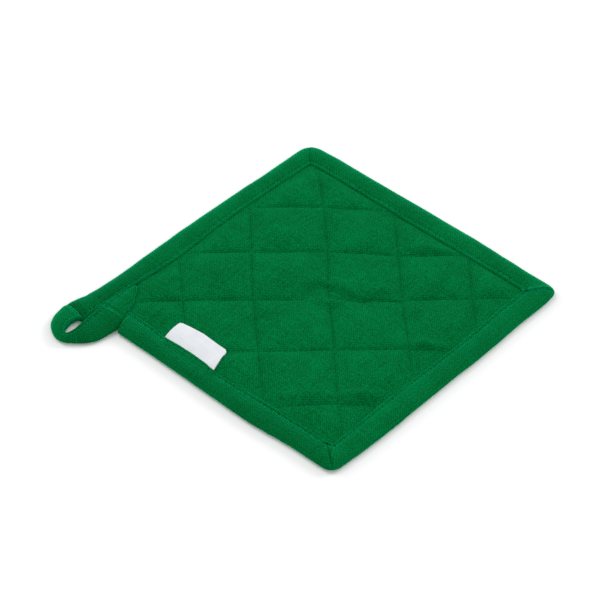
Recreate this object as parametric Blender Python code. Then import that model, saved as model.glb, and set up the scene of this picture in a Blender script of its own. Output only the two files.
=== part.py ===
"""A quilted cotton pot holder with a bound edge, a hanging loop and a folded label.

Metres, +Z up. The pad lies flat on z = 0 with its centre at the origin and its sides along X and Y.
The hanging loop is at the corner -X -Y.
"""

import math

import bmesh
import bpy

MM = 0.001
GAP = 0.3 * MM  # clearance between pieces that touch

# The corners of the bound square as it lies, in order round it. Columns: x, y, length that is rounded off.
CORNERS = (
    (-100.4 * MM, -100.3 * MM, 3.0 * MM),
    (98.4 * MM, -98.7 * MM, 8.0 * MM),
    (98.7 * MM, 99.0 * MM, 7.0 * MM),
    (-100.4 * MM, 101.0 * MM, 10.0 * MM),
)
LOOP_CORNER = CORNERS[0]
# The tape's edges along the four sides, which start at the corners above in turn. Columns: place along the
# side, outer edge and inner edge, in mm in plan. The first and third sides run along X, the others along Y.
SIDES = (
    (
        (-101, -100.3, -84.6),
        (-55, -100.2, -84.5),
        (-40, -100.0, -86.4),
        (-20, -100.2, -87.0),
        (-3, -100.5, -86.9),
        (12, -100.7, -86.3),
        (25, -101.0, -85.6),
        (39, -101.1, -84.7),
        (50, -100.4, -84.5),
        (60, -99.5, -84.2),
        (70, -98.9, -83.9),
        (99, -98.7, -84.0),
    ),
    (
        (-99, 98.5, 85.2),
        (-85, 99.2, 85.2),
        (-76, 99.9, 85.1),
        (-56, 100.4, 84.6),
        (-46, 100.5, 84.3),
        (-33, 100.2, 84.4),
        (-15, 100.2, 84.6),
        (5, 100.1, 85.1),
        (20, 100.5, 85.4),
        (40, 100.3, 85.0),
        (52, 99.9, 84.5),
        (61, 99.6, 84.1),
        (84, 99.8, 83.9),
        (99, 98.7, 83.9),
    ),
    (
        (99, 98.9, 83.8),
        (79, 99.2, 84.0),
        (60, 100.1, 84.4),
        (45, 100.8, 84.6),
        (32, 101.3, 84.8),
        (13, 101.4, 84.9),
        (-6, 101.7, 84.7),
        (-26, 101.7, 85.5),
        (-45, 101.7, 85.9),
        (-60, 101.9, 86.2),
        (-76, 102.2, 86.0),
        (-87, 101.8, 85.8),
        (-101, 101.0, 85.6),
    ),
    (
        (101, -100.4, -85.6),
        (90, -100.9, -85.6),
        (73, -100.8, -86.1),
        (58, -100.7, -86.8),
        (40, -101.4, -86.9),
        (20, -101.5, -87.0),
        (6, -101.6, -86.8),
        (-5, -101.5, -86.0),
        (-14, -101.7, -85.1),
        (-26, -101.2, -84.5),
        (-45, -100.9, -84.7),
        (-58, -100.3, -85.4),
        (-68, -100.1, -86.0),
        (-80, -100.4, -86.6),
        (-92, -101.4, -86.9),
        (-101, -103.0, -87.0),
    ),
)
# The way along each side, the way inwards from it, and the straight line nearest its tape's inner edge.
RUNS = ((1, 0), (0, 1), (-1, 0), (0, -1))
INWARDS = ((0, 1), (-1, 0), (0, -1), (1, 0))
INNER_LINES = (-85.3 * MM, 84.6 * MM, 85.0 * MM, -85.9 * MM)

# Quilting: two sets of parallel lines along the square's diagonals.
DIAGONAL = math.sqrt(0.5)
LINE_PITCH_P = 42.6 * MM
LINE_FIRST_P = 5.24 * MM
LINE_PITCH_Q = 42.03 * MM
LINE_FIRST_Q = -4.98 * MM
LINES_EACH_WAY = 4
# Where the mesh has its rows between one sewn line and the next, as shares of the pitch.
ROW_SHARES = (0.0, 0.075, 0.21, 0.5, 0.79, 0.925)

# Heights of the filled pad above the surface that it lies on.
PUFF_TOP = 7.8 * MM
CHANNEL_TOP = 4.0 * MM
CHANNEL_UNDER = 0.9 * MM
CHANNEL_UNDER_REACH = 3.0 * MM
EDGE_UNDER_REACH = 4.0 * MM
PUFF_REACH = 20.0 * MM
EDGE_REACH = 15.0 * MM
SWELL_POWER = 2.4
BORDER_TOP = 3.1 * MM
BORDER_UNDER = 1.8 * MM
BORDER_INSET = 2.4 * MM
BORDER_STEP = 0.8 * MM
TAPE_CLEARANCE = 0.5 * MM
# The pad follows the tape's uneven edge: fully this near it, and not at all this much further away.
FOLLOW_NEAR = 1.5 * MM
FOLLOW_REACH = 11.0 * MM
CUT_TOLERANCE = 0.1 * MM
# The border's corners are cut off, by this much and by this share of the rounding outside them.
CORNER_TRIM = 2.8 * MM
CORNER_TRIM_SHARE = 0.6

# Binding tape, folded round the edge.
STATIONS_PER_CORNER = 4
INNER_CORNER = 0.6 * MM
STATION_APART = 3.0 * MM
# Section of the tape. Columns: share of the width from outer edge to inner edge and height, on the
# tape's outer face, then the same on the face against the pad.
TAPE_SECTION = (
    (1.00, 4.4 * MM, 1.00, 3.4 * MM),
    (0.85, 4.4 * MM, 0.85, 3.4 * MM),
    (0.69, 5.1 * MM, 0.69, 4.1 * MM),
    (0.45, 5.6 * MM, 0.45, 4.6 * MM),
    (0.19, 5.0 * MM, 0.20, 4.0 * MM),
    (0.05, 3.9 * MM, 0.10, 3.4 * MM),
    (0.00, 2.5 * MM, 0.09, 2.6 * MM),
    (0.05, 1.0 * MM, 0.10, 1.8 * MM),
    (0.18, 0.0 * MM, 0.20, 1.1 * MM),
    (0.65, 0.0 * MM, 0.65, 1.0 * MM),
    (1.00, 0.5 * MM, 1.00, 1.5 * MM),
)
# Where the tape starts on the first side, at its outer and inner edge, and where it ends on the last one.
TAPE_START = (-67.0 * MM, -69.8 * MM)
TAPE_END = -92.0 * MM

# Hanging loop, from the end of the binding round to where it is sewn down over the corner.
# Columns: outer edge x, y and middle height, inner edge x, y and middle height, the shares of the full
# thickness at the outer and at the inner edge, and how far the lower layer lies flat under the pad's corner.
LOOP_SECTIONS = (
    (-101.4, -92.3, 2.4, -86.9, -92.3, 2.4, 1.00, 1.00, 0.0),
    (-102.6, -96.0, 2.5, -87.0, -96.0, 2.6, 0.98, 0.98, 0.0),
    (-103.4, -99.6, 2.7, -87.1, -100.3, 2.5, 0.92, 0.92, 0.0),
    (-103.8, -102.6, 2.8, -87.4, -104.0, 1.9, 0.84, 0.70, 0.0),
    (-103.9, -104.9, 2.6, -88.3, -106.2, 1.5, 0.76, 0.62, 0.0),
    (-103.9, -106.8, 3.2, -89.3, -107.6, 3.3, 0.76, 0.92, 0.0),
    (-103.6, -110.2, 2.9, -90.1, -109.8, 3.6, 0.70, 0.95, 0.0),
    (-102.7, -115.4, 2.3, -90.6, -113.0, 3.6, 0.66, 0.95, 0.0),
    (-100.0, -120.6, 1.9, -90.2, -116.4, 3.5, 0.62, 0.95, 0.0),
    (-95.8, -124.2, 1.9, -89.2, -119.2, 3.4, 0.60, 0.92, 0.0),
    (-91.0, -126.6, 1.8, -87.9, -121.0, 3.2, 0.60, 0.90, 0.0),
    (-86.9, -127.2, 1.8, -86.4, -121.6, 3.1, 0.60, 0.90, 0.0),
    (-82.6, -126.0, 1.8, -85.2, -120.4, 3.1, 0.62, 0.90, 0.0),
    (-77.8, -122.4, 1.8, -84.6, -117.2, 3.3, 0.62, 0.85, 0.0),
    (-73.4, -118.2, 1.7, -84.7, -113.4, 3.6, 0.62, 0.82, 0.0),
    (-70.3, -113.4, 1.7, -85.2, -109.4, 3.9, 0.64, 0.80, 0.0),
    (-68.9, -108.2, 1.8, -85.6, -105.2, 4.2, 0.68, 0.80, 0.0),
    (-68.3, -103.2, 2.0, -85.8, -100.8, 4.5, 0.74, 0.80, 0.0),
    (-68.0, -98.2, 2.4, -86.0, -97.2, 4.8, 0.82, 0.80, 0.5),
    (-68.7, -93.0, 3.0, -86.0, -93.8, 5.0, 0.86, 0.80, 1.0),
    (-69.6, -90.0, 3.4, -86.0, -91.4, 4.7, 0.64, 0.66, 1.0),
    (-70.4, -87.6, 4.2, -86.0, -89.2, 5.0, 0.60, 0.80, 1.0),
    (-73.0, -82.9, 4.4, -85.9, -84.0, 4.9, 0.60, 0.80, 1.0),
    (-76.9, -76.9, 4.4, -85.8, -77.6, 4.7, 0.60, 0.74, 1.0),
    (-80.6, -71.3, 4.3, -85.6, -71.6, 4.4, 0.60, 0.64, 1.0),
    (-83.5, -67.2, 4.2, -85.4, -67.4, 4.2, 0.60, 0.60, 1.0),
)
# Height of the middle of the folded tape where it lies flat.
LOOP_MIDDLE = 2.4 * MM
# Section of the folded tape. Columns: share from outer edge to inner edge, height above the middle.
LOOP_RING = (
    (0.00, 0.0 * MM),
    (0.05, -1.5 * MM),
    (0.16, -2.3 * MM),
    (0.86, -2.3 * MM),
    (0.97, -1.6 * MM),
    (1.00, 0.0 * MM),
    (0.97, 1.7 * MM),
    (0.72, 2.8 * MM),
    (0.45, 3.2 * MM),
    (0.16, 2.6 * MM),
    (0.04, 1.3 * MM),
)
# The straight edge of the stretch that is sewn down over the pad: two points, in plan.
SEWN_EDGE = ((-70.0 * MM, -87.4 * MM), (-83.9 * MM, -66.4 * MM))
# How far the room for the pad's border reaches through the loop's tape.
BORDER_ROOM_REACH = 60 * MM

# Label: one strip folded back on itself. Columns: x at the sewn end, x at the fold.
LABEL_LEFT = (-41.6 * MM, -43.1 * MM)
LABEL_RIGHT = (-2.2 * MM, -6.4 * MM)
LABEL_SHEET = 1.0 * MM
LABEL_SLIT = 0.4 * MM
LABEL_COLUMNS = 6
# Rows from the sewn edge to the fold.
LABEL_ROWS = (0.0, 3.5 * MM, 7.0 * MM, 10.5 * MM, 13.6 * MM)
LABEL_CLEARANCE = 0.4 * MM
LABEL_FOLD_STEPS = 4


def clear_scene():
    for obj in list(bpy.data.objects):
        bpy.data.objects.remove(obj, do_unlink=True)


def material(name, colour, roughness):
    made = bpy.data.materials.new(name)
    made.use_nodes = True
    shader = made.node_tree.nodes["Principled BSDF"]
    shader.inputs["Base Color"].default_value = (*colour, 1.0)
    shader.inputs["Roughness"].default_value = roughness
    shader.inputs["Metallic"].default_value = 0.0
    return made


def new_object(name, bm, finish):
    bmesh.ops.recalc_face_normals(bm, faces=bm.faces)
    mesh = bpy.data.meshes.new(name)
    bm.to_mesh(mesh)
    bm.free()
    mesh.materials.append(finish)
    mesh.shade_smooth()
    mesh.set_sharp_from_angle(angle=math.radians(40))
    obj = bpy.data.objects.new(name, mesh)
    bpy.context.scene.collection.objects.link(obj)
    return obj


def blend(a, b, share):
    return tuple(one + (other - one) * share for one, other in zip(a, b))


def edge_line(side, place, column):
    """Where the tape's outer edge (column 1) or inner edge (column 2) lies at a place along a side."""
    rows = sorted((row[0] * MM, row[column] * MM) for row in SIDES[side])
    for (before, low), (after, high) in zip(rows, rows[1:]):
        if place <= after:
            break
    return low + (high - low) * (place - before) / (after - before)


def edge_point(side, place, column):
    """The same as a point in plan."""
    line = edge_line(side, place, column)
    return (line, place) if side % 2 else (place, line)


def inside_line(point, start, inward):
    """How far a point lies on the inner side of a line."""
    return (point[0] - start[0]) * inward[0] + (point[1] - start[1]) * inward[1]


def sewn_edge_frame():
    """The edge of the sewn-down stretch of tape as a line, with its normal towards the pad's middle."""
    (ax, ay), (bx, by) = SEWN_EDGE
    length = math.hypot(bx - ax, by - ay)
    return (ax, ay), ((by - ay) / length, -(bx - ax) / length)


def cover_lines():
    """The straight lines nearest the edges of what tape covers, each with its normal."""
    lines = [((line, line), inward) for line, inward in zip(INNER_LINES, INWARDS)]
    lines.append(sewn_edge_frame())
    return lines


def past_tape(x, y):
    """How far a point of the pad is from the nearest tape, negative under it."""
    return min(inside_line((x, y), start, inward) for start, inward in cover_lines())


def follow_shift(x, y):
    """How far the pad's cloth is shifted in plan where it follows the tape's uneven edges."""
    shift = [0.0, 0.0]
    for side, line in enumerate(INNER_LINES):
        place, across = (y, x) if side % 2 else (x, y)
        near = 1.0 - max(0.0, abs(across - line) - FOLLOW_NEAR) / FOLLOW_REACH
        if near > 0.0:
            shift[1 - side % 2] += near * (edge_line(side, place, 2) - line)
    return shift


# ---- Quilted pad: two cotton faces with wadding between them, sewn together along the lines. ----


def line_distance(value, first, pitch):
    """Distance from a coordinate to the nearest of the evenly spaced sewn lines."""
    return abs((value - first + pitch / 2) % pitch - pitch / 2)


def swell(distance, reach):
    """The rise of filled cloth beside a seam: 0 on the seam, 1 from reach on."""
    left = max(0.0, 1.0 - max(0.0, distance) / reach)
    return 1.0 - left**SWELL_POWER


def seam_distances(x, y):
    across_p = line_distance((x + y) * DIAGONAL, LINE_FIRST_P, LINE_PITCH_P)
    across_q = line_distance((y - x) * DIAGONAL, LINE_FIRST_Q, LINE_PITCH_Q)
    return across_p, across_q


def pad_top(x, y):
    edge = past_tape(x, y) - TAPE_CLEARANCE
    if edge < BORDER_STEP / 2:
        return BORDER_TOP
    across_p, across_q = seam_distances(x, y)
    share = swell(across_p, PUFF_REACH) * swell(across_q, PUFF_REACH) * swell(edge - BORDER_STEP, EDGE_REACH)
    return CHANNEL_TOP + (PUFF_TOP - CHANNEL_TOP) * share


def pad_under(x, y):
    edge = past_tape(x, y) - TAPE_CLEARANCE
    if edge < BORDER_STEP / 2:
        return BORDER_UNDER
    seam = min(seam_distances(x, y))
    lift = max(1.0 - seam / CHANNEL_UNDER_REACH, 1.0 - (edge - BORDER_STEP) / EDGE_UNDER_REACH, 0.0)
    return CHANNEL_UNDER * lift


def corner_trims():
    """A line across each corner: the corner itself, the way to the middle, and how far in the cut lies."""
    trims = []
    for x, y, rounding in CORNERS:
        away = math.hypot(x, y)
        trims.append(((x, y), (-x / away, -y / away), CORNER_TRIM + CORNER_TRIM_SHARE * rounding))
    return trims


def grid_rows(first, pitch):
    lines = range(-LINES_EACH_WAY, LINES_EACH_WAY + 1)
    return [first + (line + share) * pitch for line in lines for share in ROW_SHARES]


def cut_along(bm, start, inward, offset, clear):
    at = (start[0] + inward[0] * offset, start[1] + inward[1] * offset, 0.0)
    bmesh.ops.bisect_plane(
        bm,
        geom=bm.verts[:] + bm.edges[:] + bm.faces[:],
        dist=CUT_TOLERANCE,
        plane_co=at,
        plane_no=(inward[0], inward[1], 0.0),
        clear_inner=clear,
    )


def make_pad(finish):
    bm = bmesh.new()
    rows_p = grid_rows(LINE_FIRST_P, LINE_PITCH_P)
    rows_q = grid_rows(LINE_FIRST_Q, LINE_PITCH_Q)
    net = [[bm.verts.new(((p - q) * DIAGONAL, (p + q) * DIAGONAL, 0.0)) for q in rows_q] for p in rows_p]
    for near, far in zip(net, net[1:]):
        for a, b, c, d in zip(near, far, far[1:], near[1:]):
            bm.faces.new((a, b, c, d))
    for (ax, ay, _), (bx, by, _) in zip(CORNERS, CORNERS[1:] + CORNERS[:1]):
        length = math.hypot(bx - ax, by - ay)
        cut_along(bm, (ax, ay), ((ay - by) / length, (bx - ax) / length), BORDER_INSET, clear=True)
    for start, inward, depth in corner_trims():
        cut_along(bm, start, inward, depth, clear=True)
    for start, inward in cover_lines():
        cut_along(bm, start, inward, TAPE_CLEARANCE, clear=False)
        cut_along(bm, start, inward, TAPE_CLEARANCE + BORDER_STEP, clear=False)
    made = bmesh.ops.extrude_face_region(bm, geom=bm.faces[:])
    upper = {part for part in made["geom"] if isinstance(part, bmesh.types.BMVert)}
    for vert in bm.verts:
        x, y, _ = vert.co
        shift_x, shift_y = follow_shift(x, y)
        vert.co = (x + shift_x, y + shift_y, pad_top(x, y) if vert in upper else pad_under(x, y))
    return new_object("quilted_pad", bm, finish)


# ---- Binding: one tape folded round the edge, with its fold outside and mitred corners. ----


def inner_corner(side):
    """The corner of the tape's inner edge where a side starts."""
    x, y, _ = CORNERS[side]
    along, across = (y, x) if side % 2 else (x, y)
    this, before = edge_line(side, along, 2), edge_line(side - 1, across, 2)
    return (this, before) if side % 2 else (before, this)


def curve_point(a, corner, b, share):
    """A point on the smooth curve from a to b that a corner draws out."""
    return blend(blend(a, corner, share), blend(corner, b, share), share)


def side_end(side, corner, cut, direction):
    """A point of a side's line, so far from a corner that the side starts at (1) or ends at (-1)."""
    return (corner[0] + direction * RUNS[side][0] * cut, corner[1] + direction * RUNS[side][1] * cut)


def corner_stations(side):
    """Pairs of outer and inner points round the corner that a side starts at."""
    x, y, cut = CORNERS[side]
    inner = inner_corner(side)
    outer_a = edge_point(side - 1, side_end(side - 1, (x, y), cut, -1)[(side - 1) % 2], 1)
    outer_b = edge_point(side, side_end(side, (x, y), cut, 1)[side % 2], 1)
    inner_a = side_end(side - 1, inner, INNER_CORNER, -1)
    inner_b = side_end(side, inner, INNER_CORNER, 1)
    stations = []
    for step in range(STATIONS_PER_CORNER):
        share = step / (STATIONS_PER_CORNER - 1)
        outer = curve_point(outer_a, (x, y), outer_b, share)
        stations.append((outer, curve_point(inner_a, inner, inner_b, share)))
    return stations


def side_stations(side, first, last):
    """Pairs of outer and inner points at the table's places between two others, apart from both of them."""
    places = [row[0] * MM for row in SIDES[side]]
    low, high = min(first, last) + STATION_APART, max(first, last) - STATION_APART
    return [(edge_point(side, at, 1), edge_point(side, at, 2)) for at in places if low < at < high]


def binding_stations():
    start_outer, start_inner = TAPE_START
    stations = [(edge_point(0, start_outer, 1), edge_point(0, start_inner, 2))]
    stations += side_stations(0, start_outer, inner_corner(1)[0])
    for side in (1, 2):
        stations += corner_stations(side)
        stations += side_stations(side, inner_corner(side)[side % 2], inner_corner(side + 1)[side % 2])
    stations += corner_stations(3)
    stations += side_stations(3, inner_corner(3)[1], TAPE_END)
    stations.append((edge_point(3, TAPE_END, 1), edge_point(3, TAPE_END, 2)))
    return stations


def skin(bm, rings):
    """Faces between closed rings of points in a row. Returns the rings' vertices."""
    rows = [[bm.verts.new(point) for point in ring] for ring in rings]
    for near, far in zip(rows, rows[1:]):
        for index, vert in enumerate(near):
            after = (index + 1) % len(near)
            bm.faces.new((vert, near[after], far[after], far[index]))
    return rows


def make_strip(name, sections, finish):
    """A strip of cloth from its sections, each a row of pairs of points on its two faces."""
    bm = bmesh.new()
    rings = [[face for face, _ in pairs] + [back for _, back in reversed(pairs)] for pairs in sections]
    rows = skin(bm, rings)
    for row in (rows[0], rows[-1]):
        for index in range(len(row) // 2 - 1):
            bm.faces.new((row[index], row[index + 1], row[-2 - index], row[-1 - index]))
    return new_object(name, bm, finish)


def make_binding(finish):
    sections = []
    for outer, inner in binding_stations():
        pairs = []
        for face_share, face_height, back_share, back_height in TAPE_SECTION:
            face = (*blend(outer, inner, face_share), face_height)
            back = (*blend(outer, inner, back_share), back_height)
            pairs.append((face, back))
        sections.append(pairs)
    return make_strip("binding", sections, finish)


# ---- Hanging loop: the tape's last stretch, turned back beside itself and sewn over the corner. ----


def make_border_cutter():
    """The room that the pad's border takes inside the loop's tape."""
    bm = bmesh.new()
    reach = BORDER_ROOM_REACH
    x, y = (corner + BORDER_INSET - GAP for corner in LOOP_CORNER[:2])
    outline = [(x, y), (x + reach, y), (x + reach, y + reach), (x, y + reach)]
    verts = [bm.verts.new((*point, BORDER_UNDER - GAP)) for point in outline]
    base = bm.faces.new(verts)
    made = bmesh.ops.extrude_face_region(bm, geom=[base])
    for part in made["geom"]:
        if isinstance(part, bmesh.types.BMVert):
            part.co.z = BORDER_TOP + GAP
    bmesh.ops.recalc_face_normals(bm, faces=bm.faces)
    mesh = bpy.data.meshes.new("border_room")
    bm.to_mesh(mesh)
    bm.free()
    obj = bpy.data.objects.new("border_room", mesh)
    bpy.context.scene.collection.objects.link(obj)
    obj.hide_render = True
    obj.display_type = "WIRE"
    return obj


def make_loop(finish):
    bm = bmesh.new()
    rings = []
    for *middles, outer_thickness, inner_thickness, flat in LOOP_SECTIONS:
        outer, inner = ([size * MM for size in middle] for middle in (middles[:3], middles[3:]))
        ring = []
        for share, rise in LOOP_RING:
            x, y, height = blend(outer, inner, share)
            thickness = outer_thickness + (inner_thickness - outer_thickness) * share
            height += rise * thickness
            if rise < 0.0:
                height += (LOOP_MIDDLE + rise - height) * flat
            ring.append((x, y, max(0.0, height)))
        rings.append(ring)
    rows = skin(bm, rings)
    bm.faces.new(rows[0])
    bm.faces.new(rows[-1])
    loop = new_object("hanging_loop", bm, finish)
    cut = loop.modifiers.new("border room", "BOOLEAN")
    cut.operation = "DIFFERENCE"
    cut.solver = "EXACT"
    cut.object = make_border_cutter()
    return loop


# ---- Label: a strip folded back on itself, lying on the pad with its ends at the binding. ----


def label_columns():
    """Places across the label's sewn end."""
    left, right = LABEL_LEFT[0], LABEL_RIGHT[0]
    return [left + (right - left) * step / LABEL_COLUMNS for step in range(LABEL_COLUMNS + 1)]


def label_bed(y):
    """The height at which the label lies clear of the pad, all across its width."""
    return max(pad_top(x, y - follow_shift(x, y)[1]) for x in label_columns()) + LABEL_CLEARANCE


def make_label(finish):
    sewn_y = max(edge_line(0, x, 2) for x in label_columns()) + TAPE_CLEARANCE
    beds = [(sewn_y + distance, label_bed(sewn_y + distance)) for distance in LABEL_ROWS]
    fold_y, fold_z = beds[-1]
    inner_reach = LABEL_SLIT / 2
    outer_reach = inner_reach + LABEL_SHEET
    middle_z = fold_z + outer_reach
    profile = [((y, z), (y, z + LABEL_SHEET)) for y, z in beds]
    for step in range(1, LABEL_FOLD_STEPS):
        turn = math.pi * step / LABEL_FOLD_STEPS
        across, up = math.sin(turn), -math.cos(turn)
        outer = (fold_y + outer_reach * across, middle_z + outer_reach * up)
        inner = (fold_y + inner_reach * across, middle_z + inner_reach * up)
        profile.append((outer, inner))
    for y, z in reversed(beds):
        over = z + 2 * outer_reach
        profile.append(((y, over), (y, over - LABEL_SHEET)))
    sections = []
    for sewn_x, fold_x in (LABEL_LEFT, LABEL_RIGHT):
        slant = (fold_x - sewn_x) / (fold_y - sewn_y)
        section = []
        for outer, inner in profile:
            x = sewn_x + slant * (outer[0] - sewn_y)
            section.append(((x, *outer), (x, *inner)))
        sections.append(section)
    return make_strip("label", sections, finish)


clear_scene()
green_cotton = material("green cotton", (0.0, 0.17, 0.045), 0.9)
white_label = material("white label cloth", (0.85, 0.85, 0.87), 0.7)
make_pad(green_cotton)
make_binding(green_cotton)
make_loop(green_cotton)
make_label(white_label)
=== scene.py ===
"""A quilted cotton pot holder, bound with cotton tape, with a hanging loop and a folded white label."""

import math

import bmesh
import bpy
import numpy as np
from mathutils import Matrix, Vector
from mathutils.bvhtree import BVHTree


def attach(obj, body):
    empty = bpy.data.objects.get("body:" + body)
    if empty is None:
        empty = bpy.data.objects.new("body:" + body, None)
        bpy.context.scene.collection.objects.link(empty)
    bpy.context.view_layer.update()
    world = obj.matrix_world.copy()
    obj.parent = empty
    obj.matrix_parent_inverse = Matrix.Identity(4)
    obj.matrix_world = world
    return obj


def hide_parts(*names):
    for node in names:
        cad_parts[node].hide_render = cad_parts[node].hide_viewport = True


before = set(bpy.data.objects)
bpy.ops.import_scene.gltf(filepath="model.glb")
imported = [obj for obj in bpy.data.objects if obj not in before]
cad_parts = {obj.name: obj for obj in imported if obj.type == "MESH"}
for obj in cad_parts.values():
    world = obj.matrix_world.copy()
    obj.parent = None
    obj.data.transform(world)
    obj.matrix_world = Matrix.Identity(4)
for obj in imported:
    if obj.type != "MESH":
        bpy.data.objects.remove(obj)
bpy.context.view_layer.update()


# ---- Quilted pad ----
# Two squares of plain-weave cotton with cotton wadding between them, sewn through along two sets of
# slanting lines, so that the cloth stands up in soft puffs between the seams. Its raw edges are inside
# the binding. The wadding presses the cloth outwards, which the cloth simulation below does to the top face.

MM = 0.001
DIAGONAL = math.sqrt(0.5)
# The sewn lines cross the square's corners: P runs from the loop corner to the right one, Q across it.
SEAM_PITCH_P = 42.6
SEAM_FIRST_P = 5.24
SEAM_PITCH_Q = 42.03
SEAM_FIRST_Q = -4.98
SEAMS_EACH_WAY = 4
# How each line wanders from its straight place, in mm. Columns: place along the line, distance off it.
WANDER_P = {
    -2: ((-17, 0.8), (17, -0.9), (36, -2.0)),
    -1: ((-82, 1.8), (-63, 0.7), (-30, -0.7), (-2, -1.7), (33, -1.6), (80, -1.4)),
    0: (
        *((-107, 1.8), (-83, 0.3), (-60, 0.5), (-21, 0.2), (11, 0.0)),
        *((34, 1.2), (67, 1.1), (89, 0.1), (115, -0.3)),
    ),
    1: ((-69, 1.2), (-56, 0.5), (-39, 0.6), (-14, -0.4), (14, 0.0), (41, 0.2), (59, 0.3)),
    2: ((-24, -2.2), (1, -2.0), (28, -0.6)),
}
WANDER_Q = {
    -2: ((-32, -0.3), (3, 0.4), (29, -2.3)),
    -1: ((-53, 2.3), (-19, 1.5), (5, 1.3), (43, 0.3), (72, -2.8)),
    0: ((-105, 4.2), (-70, 3.8), (-41, 3.0), (-12, 1.8), (46, -1.4), (75, -0.9), (110, -1.4)),
    1: ((-80, 4.1), (-40, 3.1), (2, 1.6), (26, -0.9), (49, -4.2), (67, -4.9), (85, -4.7)),
    2: ((-39, 2.1), (-17, 1.5), (6, 0.5), (22, -2.5), (44, -4.5)),
}
# The bound square in plan, in mm. Columns: corner, x, y, how much of the corner is rounded off.
CORNERS = {
    "loop": (-100.4, -100.3, 3.0),
    "front": (98.4, -98.7, 8.0),
    "right": (98.7, 99.0, 7.0),
    "back": (-100.4, 101.0, 10.0),
}
# The tape's edges along the sides, which start at the corners above in turn. Columns: place along the side,
# outer edge and inner edge, in mm in plan. The first and third sides run along X, the others along Y.
SIDES = (
    (
        (-101, -100.3, -84.6), (-55, -100.2, -84.5), (-40, -100.0, -86.2), (-28, -100.1, -85.6),
        (-20, -100.2, -85.4), (-10, -100.3, -85.7), (-3, -100.5, -86.6), (12, -100.7, -86.3),
        (25, -101.0, -85.6), (39, -101.1, -84.7), (50, -100.4, -84.5), (60, -99.5, -84.2),
        (70, -98.9, -83.9), (99, -98.7, -84.0),
    ),
    (
        (-99, 98.5, 85.2), (-85, 99.2, 85.2), (-76, 99.9, 85.1), (-56, 100.4, 84.6),
        (-46, 100.5, 84.3), (-33, 100.2, 84.4), (-15, 100.2, 84.6), (5, 100.1, 85.1),
        (20, 100.5, 85.4), (40, 100.3, 85.0), (52, 99.9, 84.5), (61, 99.6, 84.1),
        (84, 99.8, 83.9), (99, 98.7, 83.9),
    ),
    (
        (99, 98.9, 83.8), (79, 99.2, 84.0), (60, 100.1, 84.4), (45, 100.8, 84.6),
        (32, 101.3, 84.8), (13, 101.4, 84.9), (-6, 101.7, 84.7), (-26, 101.7, 85.5),
        (-45, 101.7, 85.9), (-60, 101.9, 86.2), (-76, 102.2, 86.0), (-87, 101.8, 85.8),
        (-101, 101.0, 85.6),
    ),
    (
        (101, -100.4, -85.6), (90, -100.9, -85.6), (73, -100.8, -86.1), (58, -100.7, -86.8),
        (40, -101.4, -86.9), (20, -101.5, -87.0), (6, -101.6, -86.8), (-5, -101.5, -86.0),
        (-14, -101.7, -85.1), (-26, -101.2, -84.5), (-45, -100.9, -84.7), (-58, -100.3, -85.4),
        (-68, -100.1, -86.0), (-80, -100.4, -86.6), (-92, -101.4, -86.9), (-101, -103.0, -87.0),
    ),
)
# The way along each side and the way inwards from it.
RUNS = np.array(((1.0, 0.0), (0.0, 1.0), (-1.0, 0.0), (0.0, -1.0)))
INWARDS = np.array(((0.0, 1.0), (-1.0, 0.0), (0.0, -1.0), (1.0, 0.0)))
CORNER_NAMES = tuple(CORNERS)
TAPE_WIDTH = 15.4
# The slanting edge of the tape that is sewn down over the loop's corner: two points in plan.
PATCH_EDGE = ((-70.0, -87.4), (-83.9, -66.4))
# Heights above the table, in mm.
CHANNEL_TOP = 4.0
PUFF_RISE = 4.4
PUFF_FULLNESS = 0.78
CHANNEL_UNDER = 0.9
TAPE_EDGE_TOP = 3.75
BORDER_TOP = 3.0
BORDER_UNDER = 1.9
BORDER_INSET = 1.9
PATCH_LAP = 2.5
# Cloth for each puff: cells between one seam and the next, in the simulation and in the finished mesh.
SIM_CELLS = 22
FINE_CELLS = 40
SIM_SCALE = 10.0
SIM_FRAMES = 22
SIM_MARGIN = 5.0
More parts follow.
